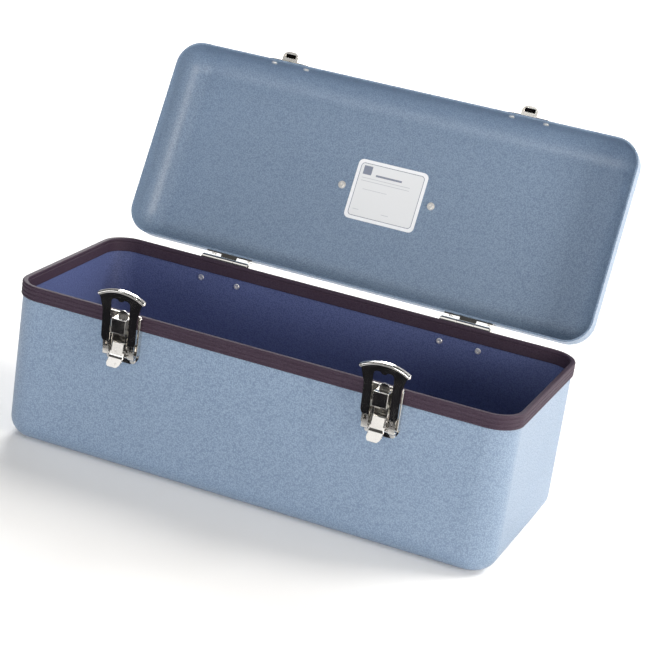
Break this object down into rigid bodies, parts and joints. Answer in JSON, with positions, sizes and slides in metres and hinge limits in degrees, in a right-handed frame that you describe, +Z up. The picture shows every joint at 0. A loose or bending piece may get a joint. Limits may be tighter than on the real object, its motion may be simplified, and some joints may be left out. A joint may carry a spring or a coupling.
{
  "type": "tool case",
  "caption": "Deep metal tool case with a hinged lid that stands open, a rubber seal round the rim, draw latches with keepers and a folding carrying handle.",
  "frame": {"origin": "centre of the case's flat underside", "axes": "+X along the case, towards the right-hand latch; -Y towards the latches, which are the front; +Z up"},
  "size_m": [0.4572, 0.3291, 0.3257],
  "materials": {
    "case_paint": "fine leather-grain paint, slate blue",
    "seal": "matt, dark aubergine",
    "nickel": "bright nickel plate",
    "rivet_metal": "bright",
    "label": "smooth white sticker with a printed dark border",
    "grip": "moulded, satin"
  },
  "bodies": {
    "case": {"base_shell": "case_paint", "rim_gasket": "seal", "hinge_base_rivets": "rivet_metal", "latch_rivets": "rivet_metal", "hinge_base_leaf_left": "nickel", "hinge_pin_left": "nickel", "latch_base_left": "nickel", "lever_pin_left": "nickel", "hinge_base_leaf_right": "nickel", "hinge_pin_right": "nickel", "latch_base_right": "nickel", "lever_pin_right": "nickel"},
    "lid": {"lid_shell": "case_paint", "hinge_lid_rivets": "rivet_metal", "keeper_rivets": "rivet_metal", "handle_rivets": "rivet_metal", "data_plate": "label", "hinge_lid_leaf_left": "nickel", "keeper_left": "nickel", "handle_bracket_left": "nickel", "hinge_lid_leaf_right": "nickel", "keeper_right": "nickel", "handle_bracket_right": "nickel"},
    "handle": {"handle_bail": "nickel", "handle_grip": "grip"},
    "lever_left": {"latch_lever_left": "nickel"},
    "claw_left": {"claw_left": "nickel", "claw_pin_left": "nickel"},
    "lever_right": {"latch_lever_right": "nickel"},
    "claw_right": {"claw_right": "nickel", "claw_pin_right": "nickel"}
  },
  "joints": [
    {"name": "lid_hinge", "type": "hinge", "parent": "case", "child": "lid", "pos_m": [0, 0.1026, 0.1405], "axis": [1, 0, 0], "range_deg": [0, 115.4]},
    {"name": "handle_pivot", "type": "hinge", "parent": "lid", "child": "handle", "pos_m": [0, 0.18979, 0.21268], "axis": [1, 0, 0], "range_deg": [-25, 154]},
    {"name": "lever_left_swing", "type": "hinge", "parent": "case", "child": "lever_left", "pos_m": [-0.118, -0.1005, 0.115], "axis": [-1, 0, 0], "range_deg": [-8, 92]},
    {"name": "claw_left_swing", "type": "hinge", "parent": "lever_left", "child": "claw_left", "pos_m": [-0.118, -0.10033, 0.1069], "axis": [1, 0, 0], "range_deg": [-13, 149.5]},
    {"name": "lever_right_swing", "type": "hinge", "parent": "case", "child": "lever_right", "pos_m": [0.118, -0.1005, 0.115], "axis": [-1, 0, 0], "range_deg": [-8, 92]},
    {"name": "claw_right_swing", "type": "hinge", "parent": "lever_right", "child": "claw_right", "pos_m": [0.118, -0.10033, 0.1069], "axis": [1, 0, 0], "range_deg": [-13, 149.5]}
  ],
  "couplings": [
    {"joint": "claw_left_swing", "follows": "lever_left_swing", "ratio": 1.625},
    {"joint": "claw_right_swing", "follows": "lever_right_swing", "ratio": 1.625}
  ]
}
